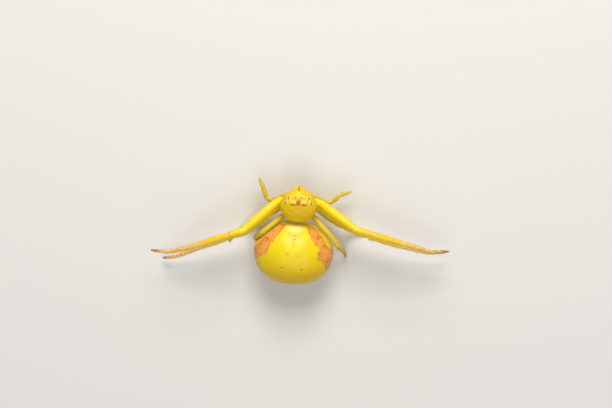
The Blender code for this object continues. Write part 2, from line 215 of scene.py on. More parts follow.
def carapace_shape(heading, elevation):
    """The cephalothorax: a shield over a shallower breast plate, with its furrows pressed in."""
    ahead = np.maximum(0.0, np.cos(heading))
    reach = blunt(heading, 2.1 + 0.6 * ahead)
    power = np.where(elevation >= 0.0, 2.6, 1.7)
    spread = squared(np.cos(elevation), power)
    height = squared(np.sin(elevation), power)
    below = np.maximum(0.0, -height)
    narrow = 1.0 - ahead * (FACE_TAPER + THROAT_TAPER * below)
    side = 0.5 * CARAPACE_WIDTH * reach * spread * np.sin(heading) * narrow
    out = reach * spread * np.cos(heading) * (1.0 - THROAT_SLOPE * ahead * below)
    forward = 0.5 * CARAPACE_LENGTH * (1.0 + out)
    brow = np.maximum(0.0, (forward - BROW_START) / (CARAPACE_LENGTH - BROW_START))
    top = CARAPACE_HEIGHT * (1.0 - BROW_FALL * brow * brow)
    edge = CLYPEUS_EDGE * np.exp(-((np.arctan2(np.sin(heading), np.cos(heading)) / 0.55) ** 2))
    up = edge + np.where(elevation >= 0.0, top - edge, BREAST_DEPTH + edge) * height
    bearing = np.arctan2(side, forward - FURROW_MIDDLE)
    distance = np.hypot(side, forward - FURROW_MIDDLE)
    furrow = np.exp(-(((distance - FURROW_DISTANCE) / FURROW_WIDTH) ** 2))
    furrow = furrow * np.cos(3.0 * bearing - math.pi) ** 8
    pit = np.exp(-((distance / THORAX_PIT_RADIUS) ** 2))
    sunk = FURROW_DEPTH * furrow + THORAX_PIT_DEPTH * pit
    up = up - np.where(elevation >= 0.0, sunk, 0.0) * (height > 0.2)
    local = np.stack((side, -forward, up, np.ones_like(up)), axis=-1)
    return local @ head_matrix[:3].T


head_form = reshaped_ball("head_form", carapace_shape, HEAD_SIDES, HEAD_RINGS)
eye_places = {}
for side_name, side in (("left", 1), ("right", -1)):
    for eye, radius in EYE_RADII.items():
        low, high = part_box(f"eye_{eye}_{side_name}")
        centre = Vector(np.array(0.5 * (low + high)) * PER_METRE - frame_shift)
        eye_places[eye, side_name] = (centre, radius)
head_parts = [head_form]
head_core = in_head(0.0, 1.90, 0.30)
for (eye, side_name), (centre, radius) in eye_places.items():
    outward = (centre - head_core).normalized()
    outer = eye.endswith("lateral")
    swell = TUBERCLE if outer else INNER_SWELL * radius
    sink = TUBERCLE_SINK if outer else INNER_SINK
    mound = bpy.data.meshes.new("eye_mound")
    bm = bmesh.new()
    bmesh.ops.create_icosphere(bm, subdivisions=3, radius=swell)
    bmesh.ops.translate(bm, vec=centre - outward * sink, verts=bm.verts)
    bm.to_mesh(mound)
    bm.free()
    obj = bpy.data.objects.new("eye_mound", mound)
    bpy.context.scene.collection.objects.link(obj)
    head_parts.append(obj)

# Legs. Each is five tubes of cuticle in a row, femur to tarsus, on a short coxa under the carapace's edge.
# The two front pairs are long and stout for seizing prey. Soft membrane shows as a waist at each joint.
# Lengths of femur, patella, tibia, metatarsus and tarsus for each pair.
LEG_LENGTHS = {
    1: (3.80, 1.20, 2.65, 2.40, 1.45),
    2: (3.40, 1.20, 2.80, 2.45, 1.40),
    3: (2.00, 0.85, 1.30, 1.00, 0.75),
    4: (2.30, 0.93, 1.40, 1.10, 0.80),
}
# Radii along the leg: where (segment number and share of it) and how thick.
FRONT_LEG_RADII = (
    (-0.20, 0.27), (0.00, 0.25), (0.12, 0.31), (0.32, 0.355), (0.58, 0.355), (0.84, 0.32), (0.97, 0.28),
    (1.10, 0.275), (1.50, 0.300), (1.88, 0.265), (2.00, 0.235), (2.12, 0.255), (2.45, 0.275), (2.80, 0.240),
    (2.97, 0.215), (3.10, 0.195), (3.50, 0.180), (3.93, 0.160), (4.05, 0.140), (4.50, 0.130), (4.85, 0.105),
    (5.00, 0.060),
)
HIND_LEG_RADII = (
    (-0.20, 0.24), (0.00, 0.21), (0.15, 0.235), (0.50, 0.255), (0.85, 0.235), (0.97, 0.215), (1.10, 0.215),
    (1.50, 0.230), (1.90, 0.205), (2.00, 0.190), (2.15, 0.200), (2.50, 0.205), (2.85, 0.175), (3.00, 0.160),
    (3.15, 0.150), (3.60, 0.140), (3.95, 0.125), (4.10, 0.115), (4.60, 0.105), (4.85, 0.090), (5.00, 0.055),
)
# Where each femur starts in the head frame: out to the side, forward and up.
LEG_BASES = {1: (1.58, 1.50, -0.38), 2: (1.62, 0.93, -0.66), 3: (1.38, 0.48, -0.92), 4: (1.16, -0.05, -0.56)}
# How far each segment is swept back and how far it rises, in degrees. None lowers a foot onto the floor.
LEG_SWEEP = {
    ("left", 1): (43, 20, 25, 23, 3),
    ("right", 1): (26, 8, 11, 13, -4),
    ("left", 2): (45, 25, 30, 34, 23),
    ("right", 2): (29, 12, 14, 12, -5),
    ("left", 3): (39, 40, 44, 52, 52),
    ("right", 3): (34, 32, 26, 22, 22),
    ("left", 4): (39, 54, 88, 125, 120),
    ("right", 4): (38, 51, 62, 70, 70),
}
LEG_RISE = {
    ("left", 1): (22, 10, 0, -8, -10),
    ("right", 1): (22, 10, 0, -8, -10),
    ("left", 2): (10, -3, -12, -20, -28),
    ("right", 2): (8, 2, -6, -12, -14),
    ("left", 3): (-22, -14, -24, -24, None),
    ("right", 3): (-14, -18, -30, -30, None),
    ("left", 4): (25, -38, -68, -50, None),
    ("right", 4): (20, 2, -60, -66, None),
}
FOOT_HEIGHT = 0.10
JOINT_WAIST = 0.035
JOINT_WAIST_REACH = 0.06
JOINT_BEND = 0.09
LEG_SIDES = 28
LEG_STEP = 0.05


def heading_vector(side, sweep, rise):
    """The direction of a limb segment: out to its side, swept back and raised by these degrees."""
    back = math.radians(sweep)
    up = math.radians(rise)
    return Vector((side * math.cos(back) * math.cos(up), math.sin(back) * math.cos(up), math.sin(up)))


def leg_joints(side_name, pair, side):
    """The five segments' joints from the femur's start to the claws."""
    out, forward, up = LEG_BASES[pair]
    joints = [in_head(side * out, forward, up)]
    for length, sweep, rise in zip(LEG_LENGTHS[pair], LEG_SWEEP[side_name, pair], LEG_RISE[side_name, pair]):
        if rise is None:
            rise = -math.degrees(math.asin((joints[-1].z - FOOT_HEIGHT) / length))
        joints.append(joints[-1] + length * heading_vector(side, sweep, rise))
    return joints


def coxa_root(pair, side):
    """Where a leg's coxa leaves the breast plate."""
    out, forward, _ = LEG_BASES[pair]
    return in_head(side * 0.42 * out, 0.75 * forward + 0.36, -0.42)


def limb_path(joints, first_number):
    """Points about LEG_STEP apart along a chain of joints with rounded bends, and their place on the limb.

    The place counts segments: 2.5 is the middle of the third one.
    """
    points = []
    places = []
    for number, (start, end) in enumerate(zip(joints, joints[1:])):
        length = (end - start).length
        steps = max(4, round(length / LEG_STEP))
        for step in range(steps + (number == len(joints) - 2)):
            points.append(start.lerp(end, step / steps))
            places.append(first_number + number + step / steps)
    path = np.array(points)
    for _ in range(int((JOINT_BEND / LEG_STEP) ** 2)):
        path[1:-1] = 0.5 * path[1:-1] + 0.25 * (path[:-2] + path[2:])
    return path, np.array(places)


def limb_loft(name, path, radii):
    """A closed round tube along a path, with a domed tip at each end."""
    tangents = np.gradient(path, axis=0)
    tangents /= np.linalg.norm(tangents, axis=1)[:, None]
    across = np.cross(tangents[0], (0.0, 0.0, 1.0))
    turns = np.arange(LEG_SIDES) * math.tau / LEG_SIDES
    rings = []
    for centre, tangent, radius in zip(path, tangents, radii):
        across = across - tangent * across.dot(tangent)
        across = across / np.linalg.norm(across)
        upward = np.cross(across, tangent)
        rings.append(centre + radius * (np.outer(np.cos(turns), across) + np.outer(np.sin(turns), upward)))
    ends = (path[0] - 0.5 * radii[0] * tangents[0], path[-1] + 0.5 * radii[-1] * tangents[-1])
    points = np.vstack((ends[0], *rings, ends[1]))
    return closed_form(name, points, banded_faces(len(points), LEG_SIDES))


limbs = []
for pair in (1, 2, 3, 4):
    for side_name, side in (("left", 1), ("right", -1)):
        joints = leg_joints(side_name, pair, side)
        chain = [coxa_root(pair, side)] + joints
        path, places = limb_path(chain, -1)
        stations = FRONT_LEG_RADII if pair < 3 else HIND_LEG_RADII
        radii = np.interp(places, *zip(*stations))
        for joint in range(5):
            beyond = (places - joint) * LEG_LENGTHS[pair][max(joint - 1, 0)]
            radii -= JOINT_WAIST * np.exp(-((beyond / JOINT_WAIST_REACH) ** 2))
        limbs.append({"kind": pair, "path": path, "places": places, "radii": radii})
        head_parts.append(limb_loft("leg_form", path, radii))

# Palps. Two short feelers beside the mouth, bent like elbows, in thinner, greyer cuticle than the legs.
# They are made as the legs are, from femur, patella, tibia and tarsus.
PALP_BASE = (0.62, 2.05, -0.80)
PALP_LENGTHS = (2.06, 0.52, 0.80, 1.05)
PALP_RADII = (
    (-1.0, 0.16), (0.0, 0.16), (0.5, 0.190), (0.93, 0.195), (1.0, 0.180), (1.5, 0.205), (2.0, 0.185),
    (2.4, 0.200), (2.9, 0.175), (3.0, 0.160), (3.35, 0.165), (3.8, 0.115), (4.0, 0.060),
)
PALP_SWEEP = {"left": (37, -31, -70, -65), "right": (30, -22, -51, -27)}
PALP_RISE = {"left": (-22, -2, 12, 9), "right": (-24, -2, 11, 6)}
PALP_KIND = 5
PALP_WAIST = 0.02
PALP_WAIST_REACH = 0.05

for side_name, side in (("left", 1), ("right", -1)):
    joints = [in_head(side * PALP_BASE[0], PALP_BASE[1], PALP_BASE[2])]
    for length, sweep, rise in zip(PALP_LENGTHS, PALP_SWEEP[side_name], PALP_RISE[side_name]):
        joints.append(joints[-1] + length * heading_vector(side, sweep, rise))
    path, places = limb_path([in_head(side * 0.35, 2.0, -0.45)] + joints, -1)
    radii = np.interp(places, *zip(*PALP_RADII))
    for joint in (1, 2, 3):
        beyond = (places - joint) * PALP_LENGTHS[joint - 1]
        radii -= PALP_WAIST * np.exp(-((beyond / PALP_WAIST_REACH) ** 2))
    limbs.append({"kind": PALP_KIND, "path": path, "places": places, "radii": radii})
    head_parts.append(limb_loft("palp_form", path, radii))

# Waist and spinnerets. A thin soft stalk joins the two halves of the body, and six small silk cones on a
# cushion end it, below the abdomen's rear.
WAIST_END_BACK = 0.55
WAIST_END_HEIGHT = 2.12
WAIST_RADII = ((0.0, 0.30), (0.6, 0.22), (1.0, 0.22))
SPINNERET_ANGLE = math.radians(36.0)
SPINNERET_SLOPE = math.radians(40.0)
SPINNERET_GAP = 0.30
SILK_CONE_LENGTH = 0.30
SILK_CONE_SPACING = 0.17

waist_start = in_head(0.0, 0.55, -0.35)
waist_end = Vector((0.5 * waist_start.x, WAIST_END_BACK, WAIST_END_HEIGHT))
shares = np.linspace(0.0, 1.0, 24)
path = np.array([waist_start.lerp(waist_end, share) for share in shares])
head_parts.append(limb_loft("waist_form", path, np.interp(shares, *zip(*WAIST_RADII))))

tail_out = Vector((0.0, math.cos(SPINNERET_SLOPE), -math.sin(SPINNERET_SLOPE)))
tail_up = Vector((0.0, math.sin(SPINNERET_SLOPE), math.cos(SPINNERET_SLOPE)))
tail_base = Vector(abdomen_shape(np.array([math.pi]), np.array([-SPINNERET_ANGLE]))[0])
tail_parts = []
path = np.array([tail_base + tail_out * reach for reach in np.linspace(-0.35, SPINNERET_GAP + 0.20, 12)])
tail_parts.append(limb_loft("silk_cushion", path, np.interp(np.arange(12), (0, 8, 11), (0.42, 0.40, 0.30))))
for number in range(6):
    turn = math.tau * (number + 0.5) / 6
    beside = Vector((math.cos(turn), 0.0, 0.0)) + math.sin(turn) * tail_up
    foot = tail_base + tail_out * (SPINNERET_GAP + 0.10) + beside * SILK_CONE_SPACING
    shares = np.linspace(0, 1, 8)
    path = np.array([foot + tail_out * SILK_CONE_LENGTH * share + beside * 0.02 * share for share in shares])
    tail_parts.append(limb_loft("silk_cone", path, np.interp(np.arange(8), (0, 5, 7), (0.12, 0.09, 0.05))))

# Skin. The whole of the flesh is one closed cuticle: legs, palps and shield are fused and softened at their
# joints, then joined to the abdomen through the waist, and pressed flat where belly and hind feet rest.
SKIN_VOXEL = 0.054
SOFTEN_ROUNDS = 6
TAIL_VOXEL = 0.035
TAIL_ROUNDS = 4
# One round of softening pulls each point in by the first share and lets it out again by the second.
PULL_IN = 0.60
LET_OUT = -0.55
LEG_ROOM = 0.10
LIMB_MARGIN = 0.6


def joined(objects, name):
    """One mesh object from several, which it replaces."""
    bm = bmesh.new()
    for obj in objects:
        bm.from_mesh(obj.data)
        mesh = obj.data
        bpy.data.objects.remove(obj, do_unlink=True)
        bpy.data.meshes.remove(mesh)
    mesh = bpy.data.meshes.new(name)
    bm.to_mesh(mesh)
    bm.free()
    obj = bpy.data.objects.new(name, mesh)
    bpy.context.scene.collection.objects.link(obj)
    return obj


def applied(obj):
    """Turns the object's modifiers into its mesh."""
    bpy.context.view_layer.update()
    mesh = bpy.data.meshes.new_from_object(obj.evaluated_get(bpy.context.evaluated_depsgraph_get()))
    obj.modifiers.clear()
    obj.data = mesh


def fused(obj, voxel, rounds):
    """One smooth surface round overlapping forms."""
    remesh = obj.modifiers.new("fuse", "REMESH")
    remesh.mode = "VOXEL"
    remesh.voxel_size = voxel
    applied(obj)
    mesh = obj.data
    count = len(mesh.vertices)
    points = np.empty(count * 3)
    mesh.vertices.foreach_get("co", points)
    points = points.reshape(-1, 3)
    ends = np.empty(len(mesh.edges) * 2, np.int64)
    mesh.edges.foreach_get("vertices", ends)
    ends = ends.reshape(-1, 2)
    linked = np.bincount(ends.ravel(), minlength=count)[:, None]
    for step in range(2 * rounds):
        total = np.zeros_like(points)
        for axis in range(3):
            total[:, axis] = np.bincount(ends[:, 0], points[ends[:, 1], axis], count)
            total[:, axis] += np.bincount(ends[:, 1], points[ends[:, 0], axis], count)
        points += (PULL_IN if step % 2 == 0 else LET_OUT) * (total / linked - points)
    mesh.vertices.foreach_set("co", points.ravel())
    mesh.update()


# The abdomen's shoulders give way a little to the hind legs that lie along them.
form_points = np.array([v.co for v in abdomen_form.data.vertices])
inward = ABDOMEN_CENTRE - form_points
inward /= np.linalg.norm(inward, axis=1)[:, None]
for limb in limbs:
    if limb["kind"] == 4:
        for place, radius in zip(limb["path"][::2], limb["radii"][::2]):
            room = np.maximum(0.0, radius + LEG_ROOM - np.linalg.norm(form_points - place, axis=1))
            form_points += inward * room[:, None]
abdomen_form.data.vertices.foreach_set("co", form_points.ravel())
skin = joined(head_parts, "skin")
fused(skin, SKIN_VOXEL, SOFTEN_ROUNDS)
tail = joined(tail_parts, "tail")
fused(tail, TAIL_VOXEL, TAIL_ROUNDS)
for other in (abdomen_form, tail):
    join = skin.modifiers.new("join", "BOOLEAN")
    join.operation = "UNION"
    join.object = other
    join.solver = "MANIFOLD"
    applied(skin)
    mesh = other.data
    bpy.data.objects.remove(other, do_unlink=True)
    bpy.data.meshes.remove(mesh)

# Only the outer surface is kept; the fused forms leave small closed pockets inside it.
bm = bmesh.new()
bm.from_mesh(skin.data)
unseen = set(bm.verts)
islands = []
while unseen:
    island = {unseen.pop()}
    edge = list(island)
    while edge:
        vertex = edge.pop()
        near = {link.other_vert(vertex) for link in vertex.link_edges} & unseen
        unseen -= near
        island |= near
        edge.extend(near)
    islands.append(island)
largest = max(islands, key=len)
bmesh.ops.delete(bm, geom=[v for v in bm.verts if v not in largest], context="VERTS")
bm.to_mesh(skin.data)
bm.free()

points = np.empty(len(skin.data.vertices) * 3)
skin.data.vertices.foreach_get("co", points)
points = points.reshape(-1, 3)

# Where each point of the skin lies: on which limb and how far along and round it, and where on the shield or
# the abdomen.
head_inverse = np.linalg.inv(head_matrix)
in_shield = (np.c_[points, np.ones(len(points))] @ head_inverse.T)[:, :3]
limb_kind = np.zeros(len(points))
limb_place = np.zeros(len(points))
limb_number = np.zeros(len(points), np.int64)
lie = np.zeros((len(points), 3))
round_limb = np.zeros(len(points))
nearest = np.full(len(points), 9.0)
for number, limb in enumerate(limbs):
    path = limb["path"]
    low = path.min(axis=0) - LIMB_MARGIN
    high = path.max(axis=0) + LIMB_MARGIN
    close = np.flatnonzero(((points > low) & (points < high)).all(axis=1))
    away = np.full(len(close), 9.0)
    station = np.zeros(len(close), np.int64)
    for index in range(len(path)):
        distance = np.linalg.norm(points[close] - path[index], axis=1) / max(limb["radii"][index], 0.08)
        better = distance < away
        away[better] = distance[better]
        station[better] = index
    place = limb["places"][station]
    better = (away < 1.6) & (away < nearest[close])
    chosen = close[better]
    nearest[chosen] = away[better]
    limb_kind[chosen] = limb["kind"]
    limb_place[chosen] = place[better]
    limb_number[chosen] = number
    station = station[better]
    lie[chosen] = np.gradient(path, axis=0)[station]
    off = points[chosen] - path[station]
    beside = np.cross(lie[chosen], (0.0, 0.0, 1.0))
    beside /= np.linalg.norm(beside, axis=1)[:, None]
    round_limb[chosen] = np.arctan2((off * beside).sum(axis=1), off[:, 2]) / math.tau + 0.5
turn = math.radians(-ABDOMEN_YAW)
from_middle = points - ABDOMEN_CENTRE
across = math.cos(turn) * from_middle[:, 0] - math.sin(turn) * from_middle[:, 1]
ahead = -math.sin(turn) * from_middle[:, 0] - math.cos(turn) * from_middle[:, 1]
level = from_middle[:, 2] / np.where(from_middle[:, 2] > 0.0, ABDOMEN_TOP, ABDOMEN_BELLY)
heading = np.degrees(np.arctan2(across / (0.5 * ABDOMEN_WIDTH), ahead / (0.5 * ABDOMEN_LENGTH)))
elevation = np.degrees(np.arcsin(np.clip(np.abs(level) ** 1.05, 0.0, 1.0)) * np.sign(level))
surface = abdomen_shape(np.radians(heading), np.radians(elevation))
on_abdomen = (np.linalg.norm(surface - points, axis=1) < 0.12) & (limb_kind == 0)

# The abdomen's bands: along each flank a stripe between a lower and an upper edge, as heading and elevation.
BAND_LOWER = {
    1: ((14, 14), (18, 10), (28, 6), (38, 11), (48, 18), (63, 22), (73, 20), (80, 11), (88, 2), (106, 0)),
    -1: (
        (19, 17), (23, 11), (28, 8), (38, 11), (48, 18), (58, 22), (65, 25), (73, 21), (79, 4), (88, -2),
        (126, 0),
    ),
}
BAND_UPPER = {
    1: (
        (14, 18), (18, 26), (28, 35), (38, 40), (48, 44), (63, 48), (78, 50), (85, 49), (91, 37), (99, 31),
        (106, 4),
    ),
    -1: (
        (19, 22), (23, 29), (33, 40), (43, 42), (53, 46), (60, 42), (66, 46), (73, 52), (88, 53), (93, 48),
        (98, 40), (104, 35), (114, 28), (118, 11), (126, 6),
    ),
}
MM_PER_DEGREE = 0.045

# Signed distances in millimetres, more than 0 inside each marking.
band = np.full(len(points), -1.0)
for side in (1, -1):
    along = heading * side
    lower = np.interp(along, *zip(*BAND_LOWER[side]))
    upper = np.interp(along, *zip(*BAND_UPPER[side]))
    ends = np.minimum(along - BAND_LOWER[side][0][0], BAND_LOWER[side][-1][0] - along)
    depth = np.minimum(np.minimum(elevation - lower, upper - elevation), ends) * MM_PER_DEGREE
    band = np.maximum(band, np.where(on_abdomen, depth, -1.0))
# The heart mark is a wedge with its point to the rear, in a pale oval, behind the front rim, which has a
# pale cream patch that is partly the abdomen's own colour and partly a painted highlight.
on_back = on_abdomen & (level > 0.0)
heart = np.minimum(0.66 * (ahead - 0.95) - np.abs(across), 2.10 - ahead)
heart = np.where(on_back, heart, -1.0)
rim = np.where(on_back, 1.0 - np.hypot(across / 1.15, (ahead - 2.32) / 0.34), -1.0)
pale = np.where(on_back, 1.10 * (1.0 - np.hypot(across / 1.25, (ahead - 1.50) / 1.15)), -1.0)
pits = np.zeros(len(points))
for pit_heading, pit_elevation, radius, _ in BACK_PITS:
    centre = abdomen_shape(np.radians([pit_heading]), np.radians([pit_elevation]))
    pits += np.exp(-((np.linalg.norm(points - centre, axis=1) / (0.9 * radius)) ** 2))

# Markings of the face in the head frame: out to each side, forward, half-width, half-length, strength.
CREAM_PATCHES = (
    (0.42, 2.30, 0.23, 0.17, 1.0),
    (0.36, 2.70, 0.42, 0.12, 0.55),
    (0.80, 2.42, 0.17, 0.17, 0.8),
    (0.97, 2.06, 0.15, 0.15, 0.8),
)
RUST_PATCHES = ((0.0, 2.24, 0.19, 0.23, 1.0),)
DARK_STREAKS = ((0.46, 2.05, 0.23, 0.075, 1.0), (0.22, 2.10, 0.09, 0.05, 0.9))


def patches(places):
    """How strongly soft squarish patches on both sides of the shield mark each point."""
    strength = np.zeros(len(points))
    for out, forward, half_width, half_length, most in places:
        across_by = np.abs(np.abs(in_shield[:, 0]) - out) / half_width
        along_by = np.abs(-in_shield[:, 1] - forward) / half_length
        away = (across_by ** 3 + along_by ** 3) ** (1.0 / 3.0)
        strength = np.maximum(strength, most * np.exp(-(away ** 5)))
    return np.where((in_shield[:, 2] > 0.35) & (limb_kind == 0), strength, 0.0)


# Each field says how much of one marking, tint, painted highlight or painted shade a point has: which limb,
# how far out, how far back.
joints_near = np.zeros(len(points))
for joint in range(0, 5):
    joints_near += np.exp(-(((limb_place - joint) / 0.045) ** 2))
fields = {
    "band": band,
    "heart": heart,
    "pale": pale,
    "rim": rim,
    "pits": pits,
    "cream": patches(CREAM_PATCHES),
    "rust": patches(RUST_PATCHES),
    "streak": patches(DARK_STREAKS),
    "shield": ((~on_abdomen) & (limb_kind == 0)).astype(float),
    "face": np.clip((-in_shield[:, 1] - 2.62) / 0.25, 0.0, 1.0) * (limb_kind == 0),
    "leg": np.clip(limb_place + 0.6, 0.0, 1.0) * (limb_kind > 0) * (limb_kind < PALP_KIND),
    "palp": np.clip(limb_place + 0.5, 0.0, 1.0) * (limb_kind == PALP_KIND),
    # Painted shade: the hind legs are painted a darker olive, as they lie in shade beside the abdomen.
    "hind": (limb_kind > 2.5) * (limb_kind < PALP_KIND),
    "limb_place": limb_place,
    "joint": joints_near * (limb_kind > 0) * (limb_place > 0.5),
    "shin": np.clip((limb_place - 1.6) / 1.6, 0.0, 1.0) * (limb_kind > 0) * (limb_kind < 3),
    "sole": np.clip((limb_place - 4.2) / 0.7, 0.0, 1.0) * (limb_kind > 0) * (limb_kind < PALP_KIND),
    # Painted shade: the abdomen's rear is painted darker and more golden.
    "rear": np.where(on_abdomen, np.clip((0.9 - ahead) / 3.2, 0.0, 1.0), 0.0),
    # Painted highlight: the front part of the abdomen, which faces the front light, is painted lighter.
    "top": np.where(on_abdomen, np.clip((ahead - 1.0) / 1.2, 0.0, 1.0), 0.0),
}
for name, values in fields.items():
    skin.data.attributes.new(name, "FLOAT", "POINT").data.foreach_set("value", values.astype(np.float32))


def srgb(text):
    """A six-digit screen colour as the linear colour a shader takes."""
    parts = [int(text[i : i + 2], 16) / 255.0 for i in (0, 2, 4)]
    return (*(c / 12.92 if c <= 0.04045 else ((c + 0.055) / 1.055) ** 2.4 for c in parts), 1.0)


def add_node(tree, kind, inputs=(), **settings):
    """Adds a node: inputs are (socket, value or socket to link) pairs."""
    node = tree.nodes.new(kind)
    for key, value in settings.items():
        setattr(node, key, value)
    for key, value in inputs:
        if isinstance(value, bpy.types.NodeSocket):
            tree.links.new(value, node.inputs[key])
        else:
            node.inputs[key].default_value = value
    return node


# Cuticle: smooth, waxy and a little translucent over yellow fat, so it glows softly and shines only faintly.
# Sizes of its patterns in millimetres: fat cells, clouds of fat, creases, the markings' ragged outline, the
# strands of the bands, and freckles. The last two are drawn coarser than in life, or they wouldn't show. On
# the front legs' shins the freckle noise also paints glints of spines and hairs.
FAT_CELL = 0.1923
FAT_CLOUD = 0.6667
CREASE = 0.1111
RAGGED = 0.3125
STRAND = 0.3125
FRECKLE = 0.1538
CREASE_DEPTH = 0.012
CELL_DEPTH = 0.030
# Light of each colour goes this far into the cuticle, at most.
GLOW_DEPTH = 0.18
cuticle = bpy.data.materials.new("waxy_yellow_cuticle")
cuticle.use_nodes = True
tree = cuticle.node_tree
shader = tree.nodes["Principled BSDF"]
where = add_node(tree, "ShaderNodeTexCoord").outputs["Object"]
field = {name: add_node(tree, "ShaderNodeAttribute", attribute_name=name).outputs["Fac"] for name in fields}

# The fat cells lie in faint rows across the body.
rows = add_node(tree, "ShaderNodeMapping", [("Vector", where), ("Scale", (1.0, 2.2, 1.6))]).outputs["Vector"]
nets = {}
for name, size, uneven in (("cells", FAT_CELL, 0.9), ("strands", STRAND, 1.0)):
    nets[name] = add_node(
        tree,
        "ShaderNodeTexVoronoi",
        [("Vector", rows), ("Scale", PER_METRE / size), ("Randomness", uneven)],
        feature="DISTANCE_TO_EDGE",
    ).outputs["Distance"]
clouds = {}
for name, size, detail, rough in (
    ("fat", FAT_CLOUD, 3.0, 0.6),
    ("creases", CREASE, 2.0, 0.6),
    ("outline", RAGGED, 2.5, 0.65),
    ("freckles_and_glints", FRECKLE, 1.0, 0.5),
):
    clouds[name] = add_node(
        tree,
        "ShaderNodeTexNoise",
        [("Vector", where), ("Scale", PER_METRE / size), ("Detail", detail), ("Roughness", rough)],
    ).outputs["Fac"]
# Wobble and fraying, in millimetres, that give the markings their ragged edges.
wobble, frayed = (
    add_node(
        tree, "ShaderNodeMapRange", [("Value", clouds[name]), ("To Min", -most), ("To Max", most)]
    ).outputs["Result"]
    for name, most in (("outline", 0.20), ("creases", 0.22))
)
ragged = {
    name: add_node(tree, "ShaderNodeMath", [(0, field[name]), (1, wobble)], operation="ADD").outputs["Value"]
    for name in ("band", "heart", "pale", "cream", "rust", "streak")
}
# The bands are frayed once more, finely.
ragged["band"] = add_node(
    tree, "ShaderNodeMath", [(0, ragged["band"]), (1, frayed)], operation="ADD"
).outputs["Value"]


def layered(base, layers):
    """Lays colours over a base in the tree at hand.

    Each layer is a field, the values it starts and ends at, a strength and a colour.
    """
    for value, start, end, strength, colour in layers:
        amount = add_node(
            tree,
            "ShaderNodeMapRange",
            [("Value", value), ("From Min", start), ("From Max", end), ("To Max", strength)],
            interpolation_type="SMOOTHSTEP",
        ).outputs["Result"]
        base = add_node(
            tree, "ShaderNodeMix", [(0, amount), (6, base), (7, colour)], data_type="RGBA"
        ).outputs[2]
    return base


def mottled(name, size, detail):
    """A material, its tree and shader, and a mottle with patches of a size in millimetres."""
    coat = bpy.data.materials.new(name)
    coat.use_nodes = True
    tree = coat.node_tree
    where = add_node(tree, "ShaderNodeTexCoord").outputs["Object"]
    mottle = add_node(
        tree, "ShaderNodeTexNoise", [("Vector", where), ("Scale", PER_METRE / size), ("Detail", detail)]
    ).outputs["Fac"]
    return coat, tree, tree.nodes["Principled BSDF"], mottle


# Limbs turn from lemon at the femur to tan at the foot.
limb_colours = add_node(tree, "ShaderNodeValToRGB")
ramp = limb_colours.color_ramp
ramp.elements[0].position = 0.0
ramp.elements[0].color = srgb("F0D000")
ramp.elements[1].position = 1.0
ramp.elements[1].color = srgb("A8741C")
for position, colour in (
    (0.20, "F3D404"),
    (0.40, "EEC600"),
    (0.58, "EEC404"),
    (0.66, "E4B610"),
    (0.80, "DCA81A"),
    (0.92, "CE9420"),
):
    ramp.elements.new(position).color = srgb(colour)
share = add_node(
    tree, "ShaderNodeMapRange", [("Value", field["limb_place"]), ("From Max", 5.0)]
).outputs["Result"]
tree.links.new(share, limb_colours.inputs["Fac"])

# Pale pink freckles on the shins and feet of the two front pairs of legs, which also stand for painted
# glints of their spines and hairs.
freckles_and_glints = add_node(
    tree, "ShaderNodeMath", [(0, clouds["freckles_and_glints"]), (1, field["shin"])], operation="MULTIPLY"
).outputs["Value"]
abdomen_colour = layered(
    srgb("E6CA00"),
    (
        # Painted highlight: the abdomen's front part painted lighter.
        (field["top"], 0.0, 1.0, 0.80, srgb("F2DC04")),
        # Painted shade: the abdomen's rear painted darker and golden.
        (field["rear"], 0.0, 1.0, 1.0, srgb("E0A600")),
        (clouds["fat"], 0.35, 0.75, 0.40, srgb("ECD206")),
        (nets["cells"], 0.02, 0.16, 0.40, srgb("F3DE22")),
        (ragged["pale"], 0.00, 0.55, 0.55, srgb("F5E64C")),
        (ragged["heart"], -0.08, 0.24, 0.75, srgb("D8C000")),
        # A pale cream patch on the front rim, partly the abdomen's own colour and partly a painted
        # highlight.
        (field["rim"], 0.0, 0.8, 0.70, srgb("FCF2A0")),
    ),
)
band_colour = layered(
    srgb("D8601C"),
    (
        (ragged["band"], 0.06, 0.28, 0.80, srgb("E99A34")),
        (nets["strands"], 0.03, 0.14, 0.80, srgb("F0B056")),
        (clouds["fat"], 0.50, 0.64, 0.70, srgb("D2601A")),
        (clouds["freckles_and_glints"], 0.56, 0.70, 0.45, srgb("F2B25E")),
    ),
)
skin_colour = layered(
    abdomen_colour,
    (
        (ragged["band"], -0.02, 0.05, 1.0, band_colour),
        (field["pits"], 0.20, 0.95, 0.75, srgb("7E5E0A")),
        (field["shield"], 0.0, 1.0, 1.0, srgb("EAC000")),
        (field["face"], 0.0, 1.0, 0.6, srgb("EBC606")),
        (ragged["cream"], 0.25, 0.70, 0.85, srgb("F3DC62")),
        (ragged["rust"], 0.30, 0.70, 1.0, srgb("CC6A10")),
        (ragged["streak"], 0.30, 0.80, 0.75, srgb("6E500A")),
        (field["leg"], 0.0, 1.0, 1.0, limb_colours.outputs["Color"]),
        (field["palp"], 0.0, 1.0, 1.0, srgb("DCC444")),
        # Painted shade on the hind legs.
        (field["hind"], 0.0, 1.0, 0.85, srgb("CDB42A")),
        (field["joint"], 0.25, 1.0, 0.60, srgb("F2D79A")),
        # Freckles and painted glints on the front legs' shins and feet.
        (freckles_and_glints, 0.44, 0.58, 0.75, srgb("F3CDA6")),
        (field["sole"], 0.0, 1.0, 0.55, srgb("8A5220")),
    ),
)
tree.links.new(skin_colour, shader.inputs["Base Color"])
shader.inputs["Roughness"].default_value = 0.38
shader.inputs["Specular IOR Level"].default_value = 0.34
shader.inputs["Subsurface Weight"].default_value = 0.14
shader.inputs["Subsurface Radius"].default_value = (1.0, 0.6, 0.15)
shader.inputs["Subsurface Scale"].default_value = GLOW_DEPTH * MM
